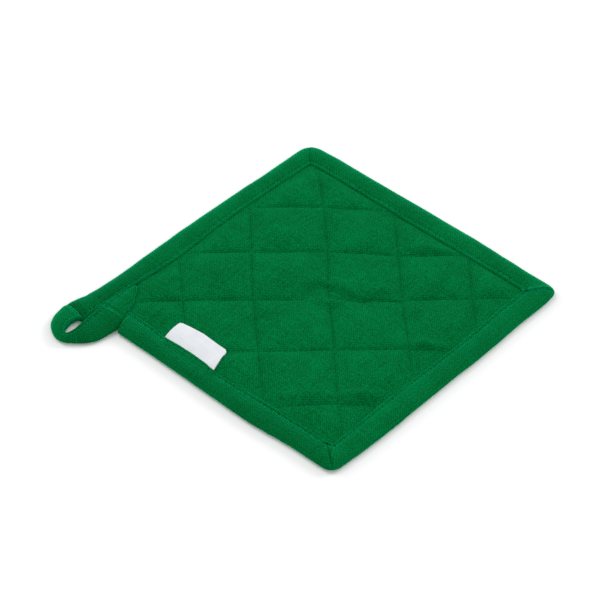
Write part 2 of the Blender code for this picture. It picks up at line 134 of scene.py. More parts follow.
# Soft folds that the cloth has taken, besides the puffs. Columns: height in mm (below 0 is a trough), half
# width in mm, and the points that the fold follows in plan.
FOLDS = (
    # The large fold across the seams in the middle: a trough, with cloth pushed up behind it.
    (
        -2.8,
        2.0,
        ((-6, -9), (-6, -1), (-5, 4), (-2.5, 7.5), (1.5, 9.4), (6, 10.2), (12, 10.2), (18, 11.4), (30, 17)),
    ),
    (0.9, 3.5, ((-11, 1), (-9, 8), (-3, 13), (4, 15.5), (13, 15.5))),
    # Puffs that bulge over the seam in front of them.
    (0.9, 2.5, ((14, 17), (21, 22), (30, 33))),
    (2.6, 3.2, ((63, 2.5), (73, 9), (83, 15), (94, 22))),
    (1.7, 3.0, ((35, -82), (45, -73), (54, -64), (62, -56))),
    (2.6, 3.0, ((60, -57), (70, -49), (80, -40.5), (89, -33))),
    (1.8, 2.8, ((8, 62), (20, 72), (32, 83), (42, 92))),
    (0.5, 3.0, ((-80, -76), (-58, -54), (-34, -31))),
    (0.6, 3.0, ((40, 36), (49, 48))),
    (0.8, 3.0, ((61, 61), (71, 70), (80, 77))),
    (0.5, 2.5, ((51, -7), (63, 3))),
    # Smaller creases and ridges.
    (-0.7, 1.4, ((28, 20), (35, 25), (42, 30))),
    (-0.5, 1.3, ((36, 20), (43, 29))),
    (-0.5, 1.3, ((34, 30), (44, 22))),
    (1.4, 2.0, ((8, -6), (18, -16.5), (30, -28.5))),
    (-0.5, 1.5, ((8, -14), (12, -7))),
    (0.5, 1.6, ((29, -61), (39, -67), (44, -61))),
    (-0.5, 2.0, ((34, -72), (42, -74), (48, -67))),
    (-0.45, 2.2, ((-62, 22), (-50, 14), (-40, 12))),
    (-0.4, 2.4, ((-40, 48), (-30, 40), (-18, 38))),
    (0.4, 2.4, ((-56, -20), (-44, -30), (-34, -44))),
    (-0.4, 2.2, ((-30, 20), (-20, 8), (-16, -4))),
    (-0.4, 2.4, ((22, 62), (34, 60), (46, 68))),
    (0.4, 2.6, ((50, 10), (60, 20), (72, 22))),
    (-0.4, 2.2, ((-14, -52), (-4, -46), (6, -48))),
    (-0.35, 2.2, ((60, 52), (66, 62), (66, 72))),
)
# The ridge in front of the large fold lifts the cloth clear of the seams that cross there. Same columns.
BRIDGES = ((4.0, 4.2, ((-4, -13), (1.5, -7), (8, -3), (15, 1.5), (22, 6))),)
# What shapes the cloth beside a seam. Columns: amount at the seam, and over how many mm it fades.
# A puff rises more slowly from the seam on its left, by this share of its height.
LEAN = (0.50, 6.0)
# Every seam holds the cloth down by this share of the puff's height, and its thread by so many mm more.
HELD_DOWN = (0.70, 1.1)
THREAD_PULL = (0.45, 0.9)
# A ridge of this height leaves the thread slack.
SLACK_RIDGE = 3.0
# How far from the binding the puffs and the folds reach their full height, in mm.
PUFF_RUN_OUT = 13.0
FOLD_RUN_OUT = 6.0
# Small unevenness of the cloth all over, in mm.
BUMP_HEIGHT = 0.10
# The height, in mm, from which the wadding starts to press the cloth up, and its unevenness.
START_RISE = 1.6
START_BUMPS = 0.22
# The most that the pressed cloth may rise, in mm, and the share of its sideways drift that is kept.
RISE_LIMIT = 9.0
DRIFT_SHARE = 0.6
# How much closer together the finished mesh's rows lie beside the seams, where the cloth turns down.
ROW_GATHER = 0.42
# How far inside a corner of the bound square the pad's cloth is cut, in mm, and more by this share of what
# is rounded off there.
CORNER_CUT = 2.8
CORNER_CUT_SHARE = 0.6


def smooth_step(value):
    value = np.clip(value, 0.0, 1.0)
    return value * value * (3.0 - 2.0 * value)


def wander(table, line, along):
    """How far the sewn line number `line`, or the cloth between two of them, is off at a place along it."""
    below = np.floor(line).astype(int)
    share = line - below

    def one(number):
        off = np.zeros_like(along)
        for key in table:
            rows = np.array(table[key])
            nearest = np.clip(number, min(table), max(table)) == key
            off = np.where(nearest, np.interp(along, rows[:, 0], rows[:, 1]), off)
        return off

    return one(below) * (1.0 - share) + one(below + 1) * share


def quilt_place(u, v):
    """Plan place, in mm, of a point of the cloth that is u lines along P and v lines along Q."""
    p = SEAM_FIRST_P + SEAM_PITCH_P * u
    q = SEAM_FIRST_Q + SEAM_PITCH_Q * v
    p, q = p + wander(WANDER_P, u, q), q + wander(WANDER_Q, v, p)
    return DIAGONAL * (p - q), DIAGONAL * (p + q)


def edge_line(side, place, column):
    """Where the tape's outer edge (column 1) or inner edge (column 2) lies at places along a side."""
    rows = np.array(sorted(SIDES[side]))
    step = np.clip(np.searchsorted(rows[:, 0], place, side="right") - 1, 0, len(rows) - 2)
    share = smooth_step((place - rows[step, 0]) / (rows[step + 1, 0] - rows[step, 0]))
    return rows[step, column] * (1.0 - share) + rows[step + 1, column] * share


def edge_point(side, place, column):
    """The same as a point in plan."""
    line = float(edge_line(side, place, column))
    return np.array((line, place) if side % 2 else (place, line))


def inside_distance(x, y):
    """How far plan points are inside the tape's inner edge and the patch's edge, negative under the tape."""
    nearest = np.full(np.shape(x), 1e3)
    for side, inward in enumerate(INWARDS):
        place, across = (y, x) if side % 2 else (x, y)
        nearest = np.minimum(nearest, (across - edge_line(side, place, 2)) * inward.sum())
    (ax, ay), (bx, by) = PATCH_EDGE
    length = math.hypot(bx - ax, by - ay)
    return np.minimum(nearest, ((x - ax) * (by - ay) - (y - ay) * (bx - ax)) / length)


def fold_relief(x, y, folds):
    """The height that the listed folds add at plan points."""
    relief = np.zeros_like(x)
    for height, width, path in folds:
        route = np.array(path, float)
        steps = np.linalg.norm(np.diff(route, axis=0), axis=1)
        best = np.full(x.shape, 1e6)
        place = np.zeros_like(x)
        done = 0.0
        for (ax, ay), (bx, by), step in zip(route, route[1:], steps):
            share = np.clip(((x - ax) * (bx - ax) + (y - ay) * (by - ay)) / step**2, 0.0, 1.0)
            away = np.hypot(x - ax - share * (bx - ax), y - ay - share * (by - ay))
            place = np.where(away < best, done + share * step, place)
            best = np.minimum(best, away)
            done += step
        ends = np.sin(np.pi * np.clip(place / done, 0.04, 0.96)) ** 0.6
        relief += height * ends * np.exp(-((best / width) ** 2))
    return relief


def waves(x, y, count, shortest, longest, seed):
    """Smooth unevenness from -1 to 1, as a sum of slanting waves."""
    draw = np.random.default_rng(seed)
    total = np.zeros_like(x)
    for _ in range(count):
        length = draw.uniform(shortest, longest)
        turn, shift = draw.uniform(0.0, math.pi), draw.uniform(0.0, 2.0 * math.pi)
        total += np.sin((x * math.cos(turn) + y * math.sin(turn)) * 2.0 * math.pi / length + shift)
    return total / math.sqrt(2.0 * count)


def kept_cells(inside):
    """The cells of a grid that have all four corners inside, and the points that they use."""
    cells = inside[:-1, :-1] & inside[1:, :-1] & inside[1:, 1:] & inside[:-1, 1:]
    used = np.zeros_like(inside)
    for i, j in ((0, 0), (1, 0), (1, 1), (0, 1)):
        used[i : i + cells.shape[0], j : j + cells.shape[1]] |= cells
    number = np.full(inside.shape, -1)
    number[used] = np.arange(used.sum())
    i, j = np.nonzero(cells)
    faces = np.stack([number[i, j], number[i + 1, j], number[i + 1, j + 1], number[i, j + 1]], axis=1)
    return faces, used


def link_object(name, data):
    made = bpy.data.objects.new(name, data)
    bpy.context.scene.collection.objects.link(made)
    return made


def puffed_heights():
    """Runs the cloth simulation on the top face and returns its rise and drift, in mm, on the whole grid."""
    lines = np.arange(-SEAMS_EACH_WAY * SIM_CELLS, SEAMS_EACH_WAY * SIM_CELLS + 1)
    u, v = np.meshgrid(lines / SIM_CELLS, lines / SIM_CELLS, indexing="ij")
    x, y = quilt_place(u, v)
    inside = inside_distance(x, y)
    faces, used = kept_cells(inside > -SIM_MARGIN)
    on_seam = (np.abs(u - np.round(u)) < 1e-6) | (np.abs(v - np.round(v)) < 1e-6)
    held = (on_seam | (inside < -1.0))[used]
    swell = np.abs(np.sin(np.pi * u) * np.sin(np.pi * v))
    start = START_RISE * np.sqrt(swell) + START_BUMPS * swell * waves(x, y, 40, 8.0, 20.0, 5)
    points = np.stack([x[used], y[used], np.where(held, 0.0, start[used])], axis=1) * MM * SIM_SCALE
    mesh = bpy.data.meshes.new("puffed_cloth")
    mesh.from_pydata(points.tolist(), [], faces.tolist())
    cloth = link_object("puffed_cloth", mesh)
    cloth.vertex_groups.new(name="sewn").add(np.nonzero(held)[0].tolist(), 1.0, "REPLACE")
    modifier = cloth.modifiers.new("Cloth", "CLOTH")
    settings = modifier.settings
    settings.vertex_group_mass = "sewn"
    settings.quality = 5
    settings.mass = 0.3
    settings.tension_stiffness = settings.compression_stiffness = 20.0
    settings.shear_stiffness = 5.0
    settings.bending_stiffness = 12.0
    settings.bending_damping = 2.0
    settings.air_damping = 2.0
    settings.use_pressure = True
    settings.uniform_pressure_force = 4.0
    settings.shrink_min = -0.02
    settings.effector_weights.gravity = 0.0
    modifier.collision_settings.use_collision = False
    scene = bpy.context.scene
    scene.frame_start, scene.frame_end = 1, SIM_FRAMES
    for number in range(1, SIM_FRAMES + 1):
        scene.frame_set(number)
    graph = bpy.context.evaluated_depsgraph_get()
    evaluated = cloth.evaluated_get(graph)
    settled = np.empty(len(points) * 3)
    evaluated.data.vertices.foreach_get("co", settled)
    scene.frame_set(1)
    settled = settled.reshape(-1, 3) / MM / SIM_SCALE
    bpy.data.objects.remove(cloth, do_unlink=True)
    rise, drift_x, drift_y = np.zeros_like(x), np.zeros_like(x), np.zeros_like(x)
    rise[used] = settled[:, 2]
    drift_x[used], drift_y[used] = settled[:, 0] - x[used], settled[:, 1] - y[used]
    return rise, drift_x, drift_y


def resampled(coarse, places):
    """Values of a coarse grid at finer places along both of its directions, on smooth curves."""
    last = coarse.shape[0] - 1
    at = np.clip((places + SEAMS_EACH_WAY) * SIM_CELLS, 0, last - 1e-6)
    base = np.floor(at).astype(int)
    t = at - base
    shares = (
        -0.5 * t + t**2 - 0.5 * t**3,
        1.0 - 2.5 * t**2 + 1.5 * t**3,
        0.5 * t + 2.0 * t**2 - 1.5 * t**3,
        -0.5 * t**2 + 0.5 * t**3,
    )
    weights = np.zeros((len(places), last + 1))
    for offset, share in zip((-1, 0, 1, 2), shares):
        np.add.at(weights, (np.arange(len(places)), np.clip(base + offset, 0, last)), share)
    return weights @ coarse @ weights.T


def blurred(grid, times):
    for _ in range(times):
        padded = np.pad(grid, 1, mode="edge")
        grid = (padded[:-2, 1:-1] + 2.0 * grid + padded[2:, 1:-1]) / 4.0
        padded = np.pad(grid, 1, mode="edge")
        grid = (padded[1:-1, :-2] + 2.0 * grid + padded[1:-1, 2:]) / 4.0
    return grid


def seam_distance(u, v):
    """How far a point of the cloth is from the nearest sewn line, in mm."""
    across_p = np.abs(u - np.round(u)) * SEAM_PITCH_P
    across_q = np.abs(v - np.round(v)) * SEAM_PITCH_Q
    return np.minimum(across_p, across_q)


def pad_surface():
    """Grid of the quilted cloth: plan places and the heights of its upper and its lower side, in mm."""
    steps = np.arange(-SEAMS_EACH_WAY * FINE_CELLS, SEAMS_EACH_WAY * FINE_CELLS + 1) / FINE_CELLS
    places = steps - ROW_GATHER * np.sin(2.0 * np.pi * steps) / (2.0 * np.pi)
    u, v = np.meshgrid(places, places, indexing="ij")
    x, y = quilt_place(u, v)
    inside = inside_distance(x, y)
    seam = seam_distance(u, v)
    coarse, drift_x, drift_y = puffed_heights()
    rise = resampled(blurred(coarse, 2), places)
    x = x + DRIFT_SHARE * resampled(drift_x, places)
    y = y + DRIFT_SHARE * resampled(drift_y, places)
    # The wadding fills each puff well up to its seams, where the cloth turns down.
    rise = PUFF_RISE * (np.clip(rise, 0.0, RISE_LIMIT) / PUFF_RISE) ** PUFF_FULLNESS
    rise *= 1.0 - LEAN[0] * np.exp(-(u - np.floor(u)) * SEAM_PITCH_P / LEAN[1])
    folds = fold_relief(x, y, FOLDS)
    bridges = fold_relief(x, y, BRIDGES)
    tight = 1.0 - np.clip(bridges / SLACK_RIDGE, 0.0, 1.0)
    rise *= 1.0 - HELD_DOWN[0] * tight * np.exp(-((seam / HELD_DOWN[1]) ** 2))
    rise = np.cbrt(rise**3 + bridges**3)
    settled = smooth_step((inside + 0.5) / PUFF_RUN_OUT)
    level = TAPE_EDGE_TOP + (CHANNEL_TOP - TAPE_EDGE_TOP) * smooth_step(inside / 4.0)
    bumps = BUMP_HEIGHT * waves(x, y, 30, 5.0, 12.0, 11)
    top = level + (rise + bumps) * settled + folds * smooth_step(inside / FOLD_RUN_OUT)
    top -= THREAD_PULL[0] * tight * np.exp(-((seam / THREAD_PULL[1]) ** 2)) * smooth_step(inside / 2.0)
    tucked = BORDER_TOP + (TAPE_EDGE_TOP - BORDER_TOP) * smooth_step(inside + 1.0)
    top = np.where(inside < 0.0, tucked, np.maximum(top, BORDER_TOP))
    lift = np.maximum(1.0 - seam / 3.0, 1.0 - inside / 4.0)
    under = CHANNEL_UNDER * np.clip(lift, 0.0, 1.0)
    under = np.where(inside < -0.2, BORDER_UNDER, under)
    return x, y, top, under


def pad_cuts():
    """The lines in plan that the pad's cloth is cut to, each with its normal towards the middle."""
    cuts = []
    for side, name in enumerate(CORNER_NAMES):
        start = np.array(CORNERS[name][:2])
        run = np.array(CORNERS[CORNER_NAMES[(side + 1) % 4]][:2]) - start
        inward = np.array((-run[1], run[0])) / np.linalg.norm(run)
        cuts.append((start + BORDER_INSET * inward, inward))
    for x, y, rounding in CORNERS.values():
        inward = -np.array((x, y)) / math.hypot(x, y)
        cuts.append((np.array((x, y)) + (CORNER_CUT + CORNER_CUT_SHARE * rounding) * inward, inward))
    (ax, ay), (bx, by) = PATCH_EDGE
    inward = np.array((by - ay, ax - bx)) / math.hypot(bx - ax, by - ay)
    cuts.append((np.array((ax, ay)) - PATCH_LAP * inward, inward))
    return cuts


def link_mesh(name, bm):
    bmesh.ops.recalc_face_normals(bm, faces=bm.faces)
    mesh = bpy.data.meshes.new(name)
    bm.to_mesh(mesh)
    bm.free()
    mesh.shade_smooth()
    return link_object(name, mesh)


def make_pad():
    x, y, top, under = pad_surface()
    faces, used = kept_cells(inside_distance(x, y) > -TAPE_WIDTH - 4.0)
    bm = bmesh.new()
    below = bm.verts.layers.float.new("below")
    verts = [bm.verts.new(point) for point in np.stack([x[used], y[used], top[used]], axis=1) * MM]
    for vert, height in zip(verts, under[used] * MM):
        vert[below] = height
    for face in faces:
        bm.faces.new([verts[index] for index in face])
    for start, inward in pad_cuts():
        bmesh.ops.bisect_plane(
            bm,
            geom=bm.verts[:] + bm.edges[:] + bm.faces[:],
            dist=1e-6,
            plane_co=(*(start * MM), 0.0),
            plane_no=(*inward, 0.0),
            clear_inner=True,
        )
    made = bmesh.ops.extrude_face_region(bm, geom=bm.faces[:])
    upper = {part for part in made["geom"] if isinstance(part, bmesh.types.BMVert)}
    for vert in bm.verts:
        if vert not in upper:
            vert.co.z = vert[below]
    bm.verts.layers.float.remove(below)
    pad = link_mesh("quilted_cloth", bm)
    pad.data.set_sharp_from_angle(angle=math.radians(70))
    return pad


def linear(code):
    """An sRGB hex colour as linear red, green, blue and alpha."""
    parts = [int(code[start : start + 2], 16) / 255.0 for start in (1, 3, 5)]
    return (*(part / 12.92 if part <= 0.04045 else ((part + 0.055) / 1.055) ** 2.4 for part in parts), 1.0)


def add_node(tree, kind, sockets=None, out=0, **settings):
    """Adds a node with its settings, links or sets its sockets, and gives one of its outputs."""
    made = tree.nodes.new("ShaderNode" + kind)
    for setting, value in settings.items():
        setattr(made, setting, value)
    for socket, value in (sockets or {}).items():
        if isinstance(value, bpy.types.NodeSocket):
            tree.links.new(value, made.inputs[socket])
        else:
            made.inputs[socket].default_value = value
    return made.outputs[out] if made.outputs else None


def new_material(name):
    """A material with no nodes yet, and its node tree."""
    made = bpy.data.materials.new(name)
    made.use_nodes = True
    made.node_tree.nodes.clear()
    return made, made.node_tree


def cotton_cloth(name, place, thread, colours, weave_depth, rib=0.0, fibres=0.1):
    """Dyed cotton, woven plain from matt spun threads. `place` gives the cloth's own coordinates in metres.

    The eye sees no gloss, a fine crossing grain, threads of slightly uneven dye, and a soft bloom of loose
    fibres where the cloth turns away.
    """
    made, tree = new_material(name)
    at = place(tree)
    split = [add_node(tree, "SeparateXYZ", {0: at}, out=axis) for axis in (0, 1)]
    # The threads stray a little from their rows. A noise's scale is in spots for each metre.
    stray = add_node(tree, "TexNoise", {"Vector": at, "Scale": 260.0, "Detail": 2.0})
    waves_across = []
    # A plain weave repeats after two threads each way, and a rib after one and a half.
    for axis, turn in ((0, math.pi / thread), (1, math.pi / thread), (0, 2.0 * math.pi / (1.5 * thread))):
        phase = add_node(tree, "Math", {0: split[axis], 1: turn}, operation="MULTIPLY")
        phase = add_node(tree, "Math", {0: stray, 1: 2.4, 2: phase}, operation="MULTIPLY_ADD")
        waves_across.append(add_node(tree, "Math", {0: phase}, operation="SINE"))
    crossing = add_node(tree, "Math", {0: waves_across[0], 1: waves_across[1]}, operation="MULTIPLY")
    # The mesh's per-point rib value: how clearly the ribs stand out, which also sets the painted shade and
    # light on the dye below.
    clear = add_node(tree, "Attribute", out="Fac", attribute_name="ribs_and_painted_shading")
    ribs = add_node(tree, "Math", {0: waves_across[2], 1: rib}, operation="MULTIPLY")
    weave = add_node(tree, "Math", {0: ribs, 1: clear, 2: crossing}, operation="MULTIPLY_ADD")
    # Threads of uneven thickness: noise drawn out along each of the two directions.
    slubs = []
    for stretch in ((1.0 / thread, 0.045 / thread, 1.0), (0.045 / thread, 1.0 / thread, 1.0)):
        drawn = add_node(tree, "Mapping", {"Vector": at, "Scale": stretch})
        slubs.append(add_node(tree, "TexNoise", {"Vector": drawn, "Scale": 1.0, "Detail": 1.0}))
    slub = add_node(tree, "Math", {0: slubs[0], 1: slubs[1]}, operation="ADD")
    # Loose fibres make fine specks, and uneven dyeing makes broad clouds.
    speck = add_node(tree, "TexNoise", {"Vector": at, "Scale": 1250.0, "Detail": 2.0, "Roughness": 0.7})
    broad = add_node(tree, "TexNoise", {"Vector": at, "Scale": 55.0, "Detail": 3.0})
    # How much each of them lightens the dye. The last term is painted shade: where the mesh's rib value is
    # high the dye is darkened, as if shade lay between standing ribs, and where it is below 0 the dye is
    # lightened as painted light.
    shade = 0.0
    for part, amount in ((slub, 0.20), (speck, 0.85), (broad, 0.18), (weave, 0.11), (clear, -0.10)):
        shade = add_node(tree, "Math", {0: part, 1: amount, 2: shade}, operation="MULTIPLY_ADD")
    tint = add_node(tree, "MapRange", {"Value": shade, "From Min": 0.58, "From Max": 0.86})
    greens = {"Factor": tint, "A": linear(colours[0]), "B": linear(colours[1])}
    dye = add_node(tree, "Mix", greens, out="Result", data_type="RGBA")
    height = weave
    for part in (slub, speck):
        height = add_node(tree, "Math", {0: part, 1: 0.8, 2: height}, operation="MULTIPLY_ADD")
    finish = {
        "Base Color": dye,
        "Roughness": 0.95,
        "IOR": 1.5,
        "Specular IOR Level": 0.02,
        "Sheen Weight": fibres,
        "Sheen Roughness": 0.3,
        "Sheen Tint": linear("#00ffb0"),
        "Normal": add_node(tree, "Bump", {"Height": height, "Strength": 1.0, "Distance": weave_depth}),
    }
    add_node(tree, "OutputMaterial", {"Surface": add_node(tree, "BsdfPrincipled", finish)})
    return made


def lying_cloth(tree):
    """The pad's threads run along its sides, so its own plan coordinates serve."""
    return add_node(tree, "TexCoord", out="Object")


# Its threads lie 0.5 mm apart, and are drawn at 0.75 mm so that they show.
PAD_GREENS = ("#00501e", "#007a42")
pad = make_pad()
pad_finish = cotton_cloth("piece-dyed plain-weave cotton", lying_cloth, 0.75 * MM, PAD_GREENS, 0.10 * MM)
pad.data.materials.append(pad_finish)
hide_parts("quilted_pad")
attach(pad, "root")


# ---- Binding ----
# One strip of woven cotton tape, folded in half over the pad's raw edge and sewn through near its inner
# edge. It is mitred by hand at three corners, where it laps over itself, and both of its ends lie under
# the loop's tape. The folded cloth inside it rounds the outer edge.

STITCH_PITCH = 2.8
STITCH_FROM_EDGE = 2.4
STATION_STEP = 1.1
CORNER_STATIONS = 14
INNER_ROUNDING = 1.2
TAPE_THICKNESS = 0.7
FOLD_HEIGHT = 2.4
# The tape's outer face, from its upper inner edge over the top, round the outer fold and back below.
# Columns: share of the width from the outer edge, height in mm.
TAPE_FACE = (
    (1.000, 3.85), (0.998, 4.20), (0.987, 4.42), (0.962, 4.56), (0.930, 4.64),
    (0.900, 4.68), (0.872, 4.70), (0.845, 4.74), (0.818, 4.81), (0.785, 4.92),
    (0.745, 5.07), (0.690, 5.27), (0.620, 5.48), (0.540, 5.63), (0.455, 5.68),
    (0.370, 5.62), (0.290, 5.46), (0.215, 5.20), (0.148, 4.82), (0.092, 4.32),
    (0.048, 3.72), (0.016, 3.06), (0.000, 2.40), (0.010, 1.76), (0.038, 1.14),
    (0.085, 0.58), (0.150, 0.18), (0.235, 0.00), (0.450, 0.00), (0.700, 0.00),
    (0.860, 0.05), (0.950, 0.18), (1.000, 0.50),
)
# Where the tape starts on the first side, at its outer and inner edge, and where it ends on the last one.
TAPE_START = (-65.6, -71.5)
TAPE_END = -92.0
# The label is sewn in under the first side's inner edge, which it lifts. Its ends along X, and the lift.
TUCK = (-43.4, 0.4, 0.85)
# The mitre folds. Columns: rise of the tape that laps over, dip of the one below, both in mm, whether the
# tape before the corner is the upper one, and how far before the diagonal the fold's inner end lies.
MITRES = {
    "front": (0.60, 1.00, True, 4.0),
    "right": (1.00, 1.60, False, 0.5),
    "back": (0.35, 0.60, True, 0.0),
    "loop": (0.0, 0.0, False, 0.0),
}
# How far the fold's two halves stay apart, as a share of the way round the corner, and how much of the inner
# edge each keeps where the fold starts early.
FOLD_APART = 0.007
FOLD_KEEPS = 0.03
# The tape's unevenness, in mm. How far its inner edge swings, by itself and with each stitch.
EDGE_SWING = 0.32
EDGE_SCALLOP = 0.12
# Its thickness varies by this share, and slanting drag lines cross it: how high, how far apart, how slanted.
SWELL = 0.05
DRAG_LINES = (0.07, 6.7, 0.8)
# The thread's dent at each stitch and between them, and how far the lip stands up between the stitches.
STITCH_DENT = 1.1
ROW_DENT = 0.04
LIP_RISE = 0.05


def distances_along(points):
    """How far along a line each of its points lies."""
    return np.concatenate([[0.0], np.cumsum(np.linalg.norm(np.diff(points, axis=0), axis=1))])


def inner_corner(side):
    """The corner of the tape's inner edge where a side starts, in plan."""
    corner = CORNERS[CORNER_NAMES[side]]
    along = edge_line(side, corner[side % 2], 2)
    before = edge_line((side - 1) % 4, corner[(side - 1) % 2], 2)
    return np.array((along, before) if side % 2 else (before, along), float)


def rounded(a, corner, b, share):
    """A point on the smooth curve from a to b that a corner draws out."""
    return (1.0 - share) ** 2 * a + 2.0 * share * (1.0 - share) * corner + share**2 * b


def side_stations(side):
    """Cross-sections along one side: outer point, inner point, side and lift."""
    axis, sign = side % 2, RUNS[side].sum()
    first, second = CORNER_NAMES[side], CORNER_NAMES[(side + 1) % 4]
    outer_from = CORNERS[first][axis] + sign * CORNERS[first][2]
    outer_to = CORNERS[second][axis] - sign * CORNERS[second][2]
    inner_from = inner_corner(side)[axis] + sign * INNER_ROUNDING
    inner_to = inner_corner((side + 1) % 4)[axis] - sign * (INNER_ROUNDING + MITRES[second][3])
    if side == 0:
        outer_from, inner_from = TAPE_START
    if side == 3:
        outer_to = inner_to = TAPE_END
    stations = []
    for share in np.linspace(0.0, 1.0, round(abs(outer_to - outer_from) / STATION_STEP) + 1):
        outer = edge_point(side, outer_from + (outer_to - outer_from) * share, 1)
        inner = edge_point(side, inner_from + (inner_to - inner_from) * share, 2)
        stations.append((outer, inner, side, 0.0))
    return stations


def corner_stations(side):
    """Cross-sections round the corner after a side. One half of the tape steps down at the fold."""
    after = side + 1
    x, y, cut = CORNERS[CORNER_NAMES[after]]
    rise, dip, first_on_top, early = MITRES[CORNER_NAMES[after]]
    corner = np.array((x, y))
    outer_a = edge_point(side, (corner - RUNS[side] * cut)[side % 2], 1)
    outer_b = edge_point(after, (corner + RUNS[after] * cut)[after % 2], 1)
    middle = inner_corner(after)
    inner_a = middle - RUNS[side] * (INNER_ROUNDING + early)
    inner_b = middle + RUNS[after] * INNER_ROUNDING
    stations = []
    for half in (0, 1):
        for step in range(1, CORNER_STATIONS):
            near = (CORNER_STATIONS - step if half else step) / (CORNER_STATIONS - 1)
            share = (0.5 - FOLD_APART) * near
            share = 1.0 - share if half else share
            upper = first_on_top == (half == 0)
            lift = rise * near**1.6 if upper else -dip * near**4
            inner = rounded(inner_a, middle, inner_b, share)
            if early:
                # The fold starts before the corner, and the tape after it covers the rest.
                covered = (1.0 - FOLD_KEEPS) * (1.0 - near) + FOLD_KEEPS if half else FOLD_KEEPS * near
                inner = inner_a + (inner_b - inner_a) * covered
            stations.append((rounded(outer_a, corner, outer_b, share), inner, side + half, lift))
    return stations


def face_offsets(face):
    """The way into the tape's thickness at each point of its outer face."""
    rows = np.array([(share * TAPE_WIDTH, height) for share, height in face])
    run = np.gradient(rows, axis=0)
    run /= np.linalg.norm(run, axis=1, keepdims=True)
    return np.stack([-run[:, 1], run[:, 0]], axis=1) * TAPE_THICKNESS


def run_unevenness(along, seed):
    """Slow unevenness along the tape, from -1 to 1."""
    return waves(along, np.zeros_like(along), 14, 14.0, 70.0, seed)


def stitch_pull(along, across):
    """How far the thread draws the tape down, by the place along it and the distance from its edge."""
    beat = 0.5 + 0.5 * np.cos(2.0 * np.pi * along / STITCH_PITCH)
    row = np.exp(-(((across - STITCH_FROM_EDGE) / 0.55) ** 2))
    lip = np.exp(-(((across - 0.8) / 0.7) ** 2))
    return row * (ROW_DENT + STITCH_DENT * beat**4) - LIP_RISE * (1.0 - beat) * lip


def tape_rings(outer, inner, along, lift, face):
    """Points on the tape's outer face, one row for each cross-section, in mm."""
    left, right, tuck = TUCK
    tuck = tuck * smooth_step((inner[:, 0] - left) / 3.0) * smooth_step((right - inner[:, 0]) / 3.0)
    tuck = tuck[:, None] * (inner[:, 1:] < 0.0)
    drag_height, drag_pitch, drag_slant = DRAG_LINES
    share, height = (np.array(column) for column in zip(*face))
    across = (1.0 - share)[None, :] * TAPE_WIDTH
    along = along[:, None]
    way = inner - outer
    width = np.linalg.norm(way, axis=1)[:, None]
    beat = np.sin(2.0 * np.pi * along / STITCH_PITCH)
    inner_wave = EDGE_SWING * run_unevenness(along, 21) + EDGE_SCALLOP * beat
    place = share[None, :] + inner_wave / width * np.clip(share - 0.4, 0.0, None)[None, :]
    plan = outer[:, None, :] + way[:, None, :] * place[:, :, None]
    over = (height > FOLD_HEIGHT)[None, :] * np.ones_like(along)
    swell = 1.0 + SWELL * run_unevenness(along, 22) * (share < 0.9)[None, :]
    turn = 2.0 * np.pi * (along + drag_slant * across) / drag_pitch
    drag = np.sin(turn + 2.0 * run_unevenness(along, 23))
    drag = drag * (0.5 + 0.5 * run_unevenness(along, 24)) * drag_height
    body = smooth_step((share - 0.05) / 0.25) * (1.0 - 0.7 * smooth_step((share - 0.72) / 0.12))
    rise = (height - FOLD_HEIGHT)[None, :] * swell + drag * body[None, :]
    rise = rise + lift[:, None] * smooth_step(share / 0.16)[None, :] - stitch_pull(along, across)
    rise = rise + tuck * smooth_step((share - 0.62) / 0.22)[None, :]
    level = np.where(over > 0.0, FOLD_HEIGHT + rise, height[None, :])
    return np.concatenate([plan, level[:, :, None]], axis=2)


def section_run(face):
    """How far round the tape's face each of its points lies from the inner edge, in mm."""
    return distances_along([(share * TAPE_WIDTH, height) for share, height in face])


def skin_faces(index):
    """The faces of a skin through rings of points, each closed on itself, by the points' numbers."""
    following = np.roll(index, -1, axis=1)
    return np.stack([index[:-1], following[:-1], following[1:], index[1:]], axis=-1).reshape(-1, 4).tolist()


def strip_mesh(name, rings, cloth_places, pairs, ribs_and_painted_shading=0.0):
    """A closed skin through rings of points, with the cloth's own coordinates, in metres, as its UV map.

    Its ends are closed by quads across the tape's thickness, between so many pairs of points of the ring's
    first half and its second half, or by one face each where there are none. The last argument gives, for
    each ring, how clearly the ribs stand out, and also how much the dye is darkened there as painted shade,
    or lightened as painted light where it is below 0.
    """
    rows, count = rings.shape[:2]
    index = np.arange(rows * count).reshape(rows, count)
    faces = skin_faces(index)
    caps = []
    for row in (index[0], index[-1]):
        for step in range(pairs - 1):
            caps.append((row[step], row[step + 1], row[count - 2 - step], row[count - 1 - step]))
        if not pairs:
            caps.append(tuple(row))
    bm = bmesh.new()
    clear = bm.verts.layers.float.new("ribs_and_painted_shading")
    layer = bm.loops.layers.uv.new("cloth")
    verts = [bm.verts.new(point) for point in rings.reshape(-1, 3) * MM]
    for vert, value in zip(verts, np.repeat(np.broadcast_to(ribs_and_painted_shading, rows), count)):
        vert[clear] = value
    places = cloth_places.reshape(-1, 2) * MM
    for corners in [*faces, *caps]:
        face = bm.faces.new([verts[corner] for corner in corners])
        for place, corner in zip(face.loops, corners):
            place[layer].uv = places[corner]
    bm.faces.ensure_lookup_table()
    for face in bm.faces[len(faces) :]:
        for edge in face.edges:
            edge.smooth = False
    return link_mesh(name, bm)


def binding_stations():
    stations = []
    for side in range(4):
        stations += side_stations(side)
        if side < 3:
            stations += corner_stations(side)
    outer, inner, side_index, lift = (np.array(column) for column in zip(*stations))
    return outer, inner, side_index, lift, distances_along((outer + inner) / 2.0)


